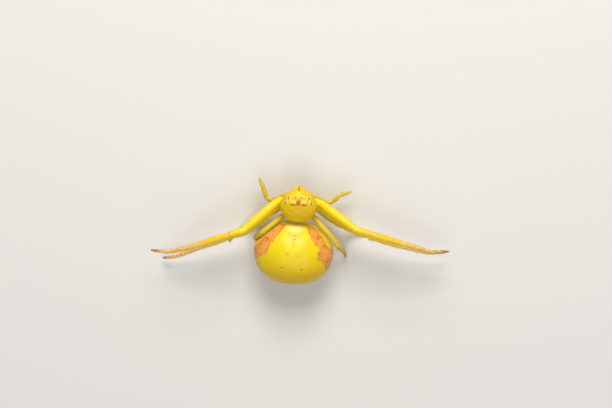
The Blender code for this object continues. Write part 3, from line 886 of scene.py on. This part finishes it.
# Fine creases of soft cuticle, and over them the low domes of the fat cells.
grain = add_node(
    tree,
    "ShaderNodeBump",
    [("Height", clouds["creases"]), ("Distance", CREASE_DEPTH * MM), ("Strength", 0.5)],
).outputs["Normal"]
dimpled = add_node(
    tree,
    "ShaderNodeBump",
    [("Height", nets["cells"]), ("Distance", CELL_DEPTH * MM), ("Strength", 0.35), ("Normal", grain)],
).outputs["Normal"]
tree.links.new(dimpled, shader.inputs["Normal"])
skin.data.materials.clear()
skin.data.materials.append(cuticle)
skin.data.shade_smooth()

points[:, 2] = np.maximum(points[:, 2], 0.0)
skin.data.vertices.foreach_set("co", ((points + frame_shift) * MM).ravel())
skin.data.update()
flesh = [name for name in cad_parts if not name.startswith(("eye_", "chelicera_"))]
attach(skin, "root")
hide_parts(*flesh)

# Eyes. Eight dark, polished lenses in two rows across the brow, each a dome set in its own low swelling.
# Their clear cornea gives a small sharp glint over a brown-black depth.
LENS_SHARE = 0.60
LENS_PROUD = 0.24
LENS_CLOUD = 0.0833

eye_mesh = bpy.data.meshes.new("eyes")
bm = bmesh.new()
for centre, radius in eye_places.values():
    outward = (centre - head_core).normalized()
    made = bmesh.ops.create_icosphere(bm, subdivisions=4, radius=LENS_SHARE * radius)["verts"]
    bmesh.ops.translate(bm, vec=centre + outward * LENS_PROUD * radius + Vector(frame_shift), verts=made)
bmesh.ops.scale(bm, vec=(MM, MM, MM), verts=bm.verts)
bm.to_mesh(eye_mesh)
bm.free()
eye_mesh.shade_smooth()
eyes = bpy.data.objects.new("eyes", eye_mesh)
bpy.context.scene.collection.objects.link(eyes)
# The lens is clear over a brown-black cup, so the eye sees dark brown and one small bright glint.
lens_coat, tree, shader, depth = mottled("dark_eye_lens", LENS_CLOUD, 2.0)
brown = add_node(
    tree, "ShaderNodeMix", [(0, depth), (6, srgb("5A360C")), (7, srgb("241606"))], data_type="RGBA"
)
tree.links.new(brown.outputs[2], shader.inputs["Base Color"])
shader.inputs["Roughness"].default_value = 0.10
shader.inputs["Coat Weight"].default_value = 0.6
shader.inputs["Coat Roughness"].default_value = 0.03
eye_mesh.materials.append(lens_coat)
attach(eyes, "root")
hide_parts(*(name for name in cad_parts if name.startswith("eye_")))

# Jaws and claws. Two stout chelicerae of hard cuticle hang side by side under the face, each with a short
# dark fang folded across its end, and every foot ends in a pair of small hooked claws.
# Stations along a chelicera, its fang and a claw: out, forward and up in the head frame, then radius.
CHELICERA_STATIONS = (
    (0.29, 2.58, 0.44, 0.30),
    (0.295, 2.69, 0.18, 0.30),
    (0.265, 2.76, -0.06, 0.275),
    (0.185, 2.81, -0.28, 0.20),
    (0.13, 2.80, -0.43, 0.145),
    (0.09, 2.77, -0.56, 0.105),
)
FANG_STATIONS = (
    (0.16, 2.76, -0.50, 0.055),
    (0.13, 2.80, -0.62, 0.045),
    (0.07, 2.78, -0.66, 0.030),
    (0.02, 2.74, -0.60, 0.010),
)
CHELICERA_RINGS = 26
FANG_RINGS = 16
CLAW_RINGS = 8
CLAW_LENGTH = 0.15
CLAW_RADIUS = 0.028
CLAW_SPREAD = 0.35
JAW_MOTTLE = 0.2222
JAW_BUMP = 0.02
JAW_GLOW_DEPTH = 0.12
CLAW_MOTTLE = 0.125


def smooth_stations(stations, steps):
    """Points and radii at many steps along a few stations, with the corners rounded."""
    stations = np.array(stations)
    chord = np.r_[0.0, np.cumsum(np.linalg.norm(np.diff(stations[:, :3], axis=0), axis=1))]
    fine = np.linspace(0.0, chord[-1], steps)
    curve = np.stack([np.interp(fine, chord, column) for column in stations.T], axis=1)
    for _ in range(steps // 3):
        curve[1:-1] = 0.5 * curve[1:-1] + 0.25 * (curve[:-2] + curve[2:])
    return curve[:, :3], curve[:, 3]


jaws = []
hooks = []
for side in (1, -1):
    for group, stations, steps in (
        (jaws, CHELICERA_STATIONS, CHELICERA_RINGS),
        (hooks, FANG_STATIONS, FANG_RINGS),
    ):
        placed = [(*in_head(side * out, forward, up), radius) for out, forward, up, radius in stations]
        group.append(limb_loft("jaw", *smooth_stations(placed, steps)))
# A pair of claws on each foot, parting as they go and hooked down.
for limb in limbs:
    if limb["kind"] < PALP_KIND:
        end = limb["path"][-1]
        forward = limb["path"][-1] - limb["path"][-4]
        forward /= np.linalg.norm(forward)
        beside = np.cross(forward, (0.0, 0.0, 1.0))
        beside /= np.linalg.norm(beside)
        down = np.cross(beside, forward) * -1.0
        down *= -1.0 if down[2] > 0.0 else 1.0
        for spread in (CLAW_SPREAD, -CLAW_SPREAD):
            start = end - 0.03 * forward + 0.03 * np.sign(spread) * beside
            stations = []
            for share in (0.0, 0.35, 0.7, 1.0):
                ahead_by = CLAW_LENGTH * share * (1.0 - 0.35 * share)
                place = start + forward * ahead_by + beside * spread * CLAW_LENGTH * share * 0.6
                place = place + down * CLAW_LENGTH * 0.55 * share * share
                stations.append((*place, CLAW_RADIUS * (1.0 - 0.8 * share)))
            hooks.append(limb_loft("claw", *smooth_stations(stations, CLAW_RINGS)))


def settled(obj, material):
    """Moves a piece made in millimetres onto the solids' frame, presses it to the floor and coats it."""
    mesh = obj.data
    places = np.empty(len(mesh.vertices) * 3)
    mesh.vertices.foreach_get("co", places)
    places = places.reshape(-1, 3) + frame_shift
    places[:, 2] = np.maximum(places[:, 2], 0.0)
    mesh.vertices.foreach_set("co", (places * MM).ravel())
    mesh.update()
    mesh.shade_smooth()
    mesh.materials.clear()
    mesh.materials.append(material)


# The jaws' shell is harder than the skin, so it shines a little more and glows less, with straw mottling.
jaw_coat, tree, shader, mottle = mottled("hard_jaw_cuticle", JAW_MOTTLE, 3.0)
straw = layered(
    srgb("E6C408"),
    (
        (mottle, 0.50, 0.72, 0.6, srgb("F0DC7A")),
        (mottle, 0.25, 0.42, 0.4, srgb("D6A416")),
    ),
)
tree.links.new(straw, shader.inputs["Base Color"])
shader.inputs["Roughness"].default_value = 0.30
shader.inputs["Subsurface Weight"].default_value = 0.10
shader.inputs["Subsurface Scale"].default_value = JAW_GLOW_DEPTH * MM
bumps = add_node(
    tree, "ShaderNodeBump", [("Height", mottle), ("Distance", JAW_BUMP * MM), ("Strength", 0.5)]
).outputs["Normal"]
tree.links.new(bumps, shader.inputs["Normal"])
jaws = joined(jaws, "jaws")
settled(jaws, jaw_coat)
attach(jaws, "root")
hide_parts("chelicera_left", "chelicera_right")

# Fangs and claws are the hardest cuticle: nearly black, brown where thin, and polished by wear.
hook_coat, tree, shader, mottle = mottled("dark_polished_claw", CLAW_MOTTLE, 2.0)
umber = layered(srgb("3A2210"), ((mottle, 0.4, 0.7, 0.8, srgb("6A3F1A")),))
tree.links.new(umber, shader.inputs["Base Color"])
shader.inputs["Roughness"].default_value = 0.22
hooks = joined(hooks, "hooks")
settled(hooks, hook_coat)
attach(hooks, "root")

# Spines and hairs. Stiff pale bristles of cuticle: paired spines under the shins and feet of the long legs,
# single ones on thighs, shield and brow, and a thin cover of short fine hairs lying towards each limb's tip.
SPINE_LENGTH = 0.34
SPINE_RADIUS = 0.020
HAIR_LENGTH = 0.15
HAIR_RADIUS = 0.010
HAIRS_PER_SQUARE_MM = 60.0
# A bristle's length varies between these shares, its tip is this share of its root, and on the unwrap it
# takes a patch this wide.
SHORTEST = 0.65
LONGEST = 1.15
TIP_SHARE = 0.12
BAKE_PATCH = 0.003
HORN_MOTTLE = 0.4


def bristles(name, source, scatter, sizes, material):
    """Plain mesh of bristles on a mesh's points, or scattered over its faces.

    Each bristle has its own small patch of the OFBake map, at its root's place on the unwrap.
    """
    tree = bpy.data.node_groups.new(name, "GeometryNodeTree")
    face = tree.interface
    face.new_socket("Geometry", in_out="INPUT", socket_type="NodeSocketGeometry")
    sockets = {}
    for key in sizes:
        kind = "NodeSocketInt" if key == "Seed" else "NodeSocketFloat"
        sockets[key] = face.new_socket(key, in_out="INPUT", socket_type=kind).identifier
    face.new_socket("Geometry", in_out="OUTPUT", socket_type="NodeSocketGeometry")
    given = add_node(tree, "NodeGroupInput").outputs
    read = {}
    for key in ("hairy", "reach", "lean", "root_place", "patch"):
        kind = "FLOAT" if key in ("hairy", "reach") else "FLOAT_VECTOR"
        reader = add_node(tree, "GeometryNodeInputNamedAttribute", [("Name", key)], data_type=kind)
        read[key] = reader.outputs["Attribute"]
    if scatter:
        density = add_node(
            tree, "ShaderNodeMath", [(0, read["hairy"]), (1, given["Density"])], operation="MULTIPLY"
        ).outputs[0]
        spots = add_node(
            tree,
            "GeometryNodeDistributePointsOnFaces",
            [("Mesh", given["Geometry"]), ("Density", density), ("Seed", given["Seed"])],
        ).outputs["Points"]
    else:
        spots = add_node(tree, "GeometryNodeMeshToPoints", [("Mesh", given["Geometry"])]).outputs["Points"]
    stray = add_node(
        tree,
        "FunctionNodeRandomValue",
        [(0, (-1.0, -1.0, -1.0)), (1, (1.0, 1.0, 1.0)), ("Seed", given["Seed"])],
        data_type="FLOAT_VECTOR",
    ).outputs[0]
    stray = add_node(
        tree, "ShaderNodeVectorMath", [(0, stray), ("Scale", given["Stray"])], operation="SCALE"
    ).outputs[0]
    aim = add_node(tree, "ShaderNodeVectorMath", [(0, read["lean"]), (1, stray)], operation="ADD").outputs[0]
    turn = add_node(
        tree, "FunctionNodeAlignRotationToVector", [("Vector", aim)], axis="Z"
    ).outputs["Rotation"]
    vary = add_node(
        tree,
        "FunctionNodeRandomValue",
        [(2, SHORTEST), (3, LONGEST), ("Seed", given["Seed"])],
        data_type="FLOAT",
    ).outputs[1]
    tall = vary
    for share in (read["reach"], given["Length"]):
        tall = add_node(tree, "ShaderNodeMath", [(0, tall), (1, share)], operation="MULTIPLY").outputs[0]
    size = add_node(
        tree, "ShaderNodeCombineXYZ", [("X", given["Radius"]), ("Y", given["Radius"]), ("Z", tall)]
    ).outputs[0]
    cone = add_node(
        tree,
        "GeometryNodeMeshCone",
        [
            ("Vertices", 4),
            ("Side Segments", 1),
            ("Radius Top", TIP_SHARE),
            ("Radius Bottom", 1.0),
            ("Depth", 1.0),
        ],
    )
    shape = add_node(
        tree,
        "GeometryNodeStoreNamedAttribute",
        [("Geometry", cone.outputs["Mesh"]), ("Name", "patch"), ("Value", cone.outputs["UV Map"])],
        data_type="FLOAT2",
        domain="CORNER",
    ).outputs["Geometry"]
    placed = add_node(
        tree,
        "GeometryNodeInstanceOnPoints",
        [("Points", spots), ("Instance", shape), ("Rotation", turn), ("Scale", size)],
    ).outputs["Instances"]
    real = add_node(tree, "GeometryNodeRealizeInstances", [("Geometry", placed)]).outputs["Geometry"]
    patch = add_node(
        tree, "ShaderNodeVectorMath", [(0, read["patch"]), ("Scale", BAKE_PATCH)], operation="SCALE"
    ).outputs[0]
    spot = add_node(
        tree, "ShaderNodeVectorMath", [(0, read["root_place"]), (1, patch)], operation="ADD"
    ).outputs[0]
    baked = add_node(
        tree,
        "GeometryNodeStoreNamedAttribute",
        [("Geometry", real), ("Name", "OFBake"), ("Value", spot)],
        data_type="FLOAT2",
        domain="CORNER",
    ).outputs["Geometry"]
    smooth = add_node(
        tree, "GeometryNodeSetShadeSmooth", [("Geometry", baked), ("Shade Smooth", True)]
    ).outputs["Geometry"]
    coated = add_node(
        tree, "GeometryNodeSetMaterial", [("Geometry", smooth), ("Material", material)]
    ).outputs["Geometry"]
    add_node(tree, "NodeGroupOutput", [("Geometry", coated)])
    step = source.modifiers.new(name, "NODES")
    step.node_group = tree
    for key, value in sizes.items():
        step[sockets[key]] = value
    bpy.context.view_layer.update()
    mesh = bpy.data.meshes.new_from_object(source.evaluated_get(bpy.context.evaluated_depsgraph_get()))
    source.modifiers.remove(step)
    helpers = {*fields, "hairy", "lean", "reach", "root_place", "patch"}
    for extra in [a.name for a in mesh.attributes if a.name in helpers]:
        mesh.attributes.remove(mesh.attributes[extra])
    obj = bpy.data.objects.new(name, mesh)
    bpy.context.scene.collection.objects.link(obj)
    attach(obj, "root")
    return obj


# Bristles are thin clear horn: pale straw, glossy, and darker where they are thick.
bristle_coat, tree, shader, mottle = mottled("pale_horny_bristle", HORN_MOTTLE, 2.0)
horn = layered(
    srgb("EAD68C"),
    (
        (mottle, 0.40, 0.65, 0.8, srgb("F8F0DC")),
        (mottle, 0.20, 0.38, 0.4, srgb("D2A64A")),
    ),
)
tree.links.new(horn, shader.inputs["Base Color"])
shader.inputs["Roughness"].default_value = 0.28

# How thickly the hairs stand, how long they are and which way they lie, at each point of the skin.
skin_normals = np.empty(len(skin.data.vertices) * 3)
skin.data.vertex_normals.foreach_get("vector", skin_normals)
skin_normals = skin_normals.reshape(-1, 3)
lie /= np.maximum(np.linalg.norm(lie, axis=1), 1e-9)[:, None]
backward = np.array((0.0, 1.0, -0.2))
backward = backward - skin_normals * (skin_normals @ backward)[:, None]
on_limb = limb_kind > 0
lean = 0.75 * skin_normals + np.where(on_limb[:, None], 0.8 * lie, 0.7 * backward)
hairy = np.where(on_limb, np.interp(limb_place, (-0.2, 0.2, 2.0, 3.0, 5.0), (0.0, 0.35, 0.7, 1.2, 1.6)), 0.0)
hairy = np.where(on_abdomen, 0.07, hairy)
hairy = np.where((~on_abdomen) & (~on_limb) & (in_shield[:, 2] > 0.2), 0.07, hairy)
hairy = np.where(points[:, 2] < 0.06, 0.0, hairy)
reach = np.where(on_limb, np.interp(limb_place, (0.0, 2.0, 3.0, 5.0), (0.9, 1.0, 1.2, 0.9)), 0.75)
# The unwrap of the skin: abdomen and shield as two discs seen from their tops, and each limb as a strip.
tilt = np.radians(90.0 - elevation) / math.pi
shield_tilt = np.arctan2(np.hypot(in_shield[:, 0], in_shield[:, 1] + 1.5), in_shield[:, 2]) / math.pi
shield_turn = np.arctan2(in_shield[:, 0], in_shield[:, 1] + 1.5)
abdomen_turn = np.radians(heading)
root_place = np.zeros((len(points), 3))
root_place[:, 0] = np.where(
    on_abdomen,
    0.25 + 0.24 * tilt * np.sin(abdomen_turn),
    0.75 + 0.24 * shield_tilt * np.sin(shield_turn),
)
root_place[:, 1] = np.where(
    on_abdomen,
    0.75 + 0.24 * tilt * np.cos(abdomen_turn),
    0.75 + 0.24 * shield_tilt * np.cos(shield_turn),
)
root_place[on_limb, 0] = 0.1 * limb_number[on_limb] + 0.01 + 0.08 * round_limb[on_limb]
root_place[on_limb, 1] = 0.02 + 0.46 * (limb_place[on_limb] + 1.0) / 6.0
for name, values in (("hairy", hairy), ("reach", reach)):
    skin.data.attributes.new(name, "FLOAT", "POINT").data.foreach_set("value", values.astype(np.float32))
for name, values in (("lean", lean), ("root_place", root_place)):
    helper = skin.data.attributes.new(name, "FLOAT_VECTOR", "POINT")
    helper.data.foreach_set("vector", values.astype(np.float32).ravel())
hairs = bristles(
    "fine_hairs",
    skin,
    True,
    {
        "Density": HAIRS_PER_SQUARE_MM * 1e6,
        "Length": HAIR_LENGTH * MM,
        "Radius": HAIR_RADIUS * MM,
        "Stray": 0.25,
        "Seed": 7,
    },
    bristle_coat,
)

# Spines of the brow and shield in the head frame: out to each side, forward, up, and share of full length.
BROW_SPINES = (
    (0.22, 1.75, 1.12, 0.6),
    (0.55, 1.35, 1.10, 0.6),
    (0.10, 2.62, 0.98, 0.6),
    (0.50, 2.78, 0.62, 0.8),
)
ROOT_DEPTH = 0.02
BROW_ROOT_DEPTH = 0.05

# Where the spines stand: pairs under tibia and metatarsus of legs I and II, a few on top of each segment.
# A row gives the place on the limb, the turn round it in degrees and the share of full length.
spine_roots = []
for limb in limbs:
    path, places, radii = limb["path"], limb["places"], limb["radii"]
    tangents = np.gradient(path, axis=0)
    tangents /= np.linalg.norm(tangents, axis=1)[:, None]
    rows = []
    if limb["kind"] < 3:
        rows += [(place, turn, 1.0) for place in np.linspace(2.25, 2.88, 5) for turn in (145.0, -145.0)]
        rows += [(place, turn, 0.95) for place in np.linspace(3.12, 3.86, 7) for turn in (140.0, -140.0)]
    if limb["kind"] < PALP_KIND:
        rows += [(place, turn, 0.6) for place, turn in ((0.35, 10.0), (0.6, -12.0), (0.82, 8.0), (1.5, 0.0))]
        rows += [(place, turn, 0.5) for place, turn in ((2.3, 5.0), (2.7, -6.0), (3.3, 20.0), (3.6, -20.0))]
    for place, turn, long in rows:
        index = int(np.argmin(np.abs(places - place)))
        tangent = tangents[index]
        beside = np.cross(tangent, (0.0, 0.0, 1.0))
        beside /= np.linalg.norm(beside)
        above = np.cross(beside, tangent)
        outward = math.cos(math.radians(turn)) * above + math.sin(math.radians(turn)) * beside
        root = path[index] + outward * (radii[index] - ROOT_DEPTH)
        spine_roots.append((root, 0.8 * outward + (0.75 if abs(turn) > 90 else 0.45) * tangent, long))
forward_lean = np.array(in_head(0, 0.35, 1.0) - HEAD_ORIGIN)
for side in (1, -1):
    for out, forward, up, long in BROW_SPINES:
        root = np.array(in_head(side * out, forward, up - BROW_ROOT_DEPTH))
        spine_roots.append((root, forward_lean, long))
roots, leans, longs = (np.array(column) for column in zip(*spine_roots))
spine_mesh = bpy.data.meshes.new("spine_roots")
spine_mesh.from_pydata(((roots + frame_shift) * MM).tolist(), [], [])
numbers = np.arange(len(roots))
spine_places = np.stack((0.02 + 0.03 * (numbers % 32), 0.02 + 0.03 * (numbers // 32), 0.0 * numbers), axis=1)
spine_mesh.attributes.new("reach", "FLOAT", "POINT").data.foreach_set("value", longs)
for name, values in (("lean", leans), ("root_place", spine_places)):
    helper = spine_mesh.attributes.new(name, "FLOAT_VECTOR", "POINT")
    helper.data.foreach_set("vector", values.ravel())
spine_bed = bpy.data.objects.new("spine_roots", spine_mesh)
bpy.context.scene.collection.objects.link(spine_bed)
spines = bristles(
    "spines",
    spine_bed,
    False,
    {"Length": SPINE_LENGTH * MM, "Radius": SPINE_RADIUS * MM, "Stray": 0.06, "Seed": 3},
    bristle_coat,
)
bpy.data.objects.remove(spine_bed, do_unlink=True)
for name in ("hairy", "reach", "lean", "root_place"):
    skin.data.attributes.remove(skin.data.attributes[name])

# Camera and studio. A sheet of matt pale card for a floor, one broad soft light ahead of the animal and a
# weaker one above. The camera looks down from a little ahead of straight above, as the photo does.
PICTURE_WIDTH = 612
PICTURE_HEIGHT = 408
PIXELS_PER_MM = 12.5
# Where the middle of the abdomen lies in the picture, in pixels.
ABDOMEN_COLUMN = 293.6
ABDOMEN_ROW = 251.5
CAMERA_DISTANCE = 236.0
CAMERA_LEAN = math.radians(17.0)
CAMERA_ROLL = math.radians(6.0)
FLOOR_SIZE = 2.0

floor_mesh = bpy.data.meshes.new("floor")
bm = bmesh.new()
bmesh.ops.create_grid(bm, x_segments=1, y_segments=1, size=FLOOR_SIZE)
bm.to_mesh(floor_mesh)
bm.free()
floor = bpy.data.objects.new("floor", floor_mesh)
bpy.context.scene.collection.objects.link(floor)
# Matt card scatters the light evenly and shows no glare.
card = bpy.data.materials.new("matt_studio_card")
card.use_nodes = True
card.node_tree.nodes["Principled BSDF"].inputs["Base Color"].default_value = srgb("E4E2DE")
card.node_tree.nodes["Principled BSDF"].inputs["Roughness"].default_value = 0.9
floor.data.materials.append(card)

right = Vector((-1.0, 0.0, 0.0))
up = Vector((0.0, -math.cos(CAMERA_LEAN), -math.sin(CAMERA_LEAN)))
back = Vector((0.0, -math.sin(CAMERA_LEAN), math.cos(CAMERA_LEAN)))
camera_right = math.cos(CAMERA_ROLL) * right + math.sin(CAMERA_ROLL) * up
camera_up = math.cos(CAMERA_ROLL) * up - math.sin(CAMERA_ROLL) * right
target = Vector(ABDOMEN_CENTRE)
target += (0.5 * PICTURE_WIDTH - ABDOMEN_COLUMN) / PIXELS_PER_MM * camera_right
target += (ABDOMEN_ROW - 0.5 * PICTURE_HEIGHT) / PIXELS_PER_MM * camera_up
place = (target + CAMERA_DISTANCE * back + Vector(frame_shift)) * MM
lens = bpy.data.cameras.new("camera")
lens.sensor_width = 36.0
lens.lens = lens.sensor_width * PIXELS_PER_MM * CAMERA_DISTANCE / PICTURE_WIDTH
lens.clip_start = 0.001
lens.clip_end = 10.0
camera = bpy.data.objects.new("camera", lens)
facing = Matrix((camera_right, camera_up, back)).transposed().to_4x4()
camera.matrix_world = Matrix.Translation(place) @ facing
bpy.context.scene.collection.objects.link(camera)
bpy.context.scene.camera = camera


def soft_light(name, direction, distance, size, power, colour):
    """A square area light that looks at the animal from a direction."""
    data = bpy.data.lights.new(name, "AREA")
    data.size = size
    data.energy = power
    data.color = colour
    light = bpy.data.objects.new(name, data)
    place = Vector(direction).normalized() * distance
    facing = Vector(direction).to_track_quat("Z", "Y").to_matrix().to_4x4()
    light.matrix_world = Matrix.Translation(place) @ facing
    bpy.context.scene.collection.objects.link(light)


soft_light("front_light", (0.05, -1.0, 0.78), 0.20, 0.09, 0.36, (1.0, 0.98, 0.95))
soft_light("top_light", (-0.1, 0.35, 1.0), 0.30, 0.25, 0.34, (1.0, 1.0, 1.0))
world = bpy.data.worlds.new("studio")
world.use_nodes = True
world.node_tree.nodes["Background"].inputs["Color"].default_value = (1.0, 1.0, 1.0, 1.0)
world.node_tree.nodes["Background"].inputs["Strength"].default_value = 0.24
bpy.context.scene.world = world
bpy.context.scene.view_settings.view_transform = "Standard"
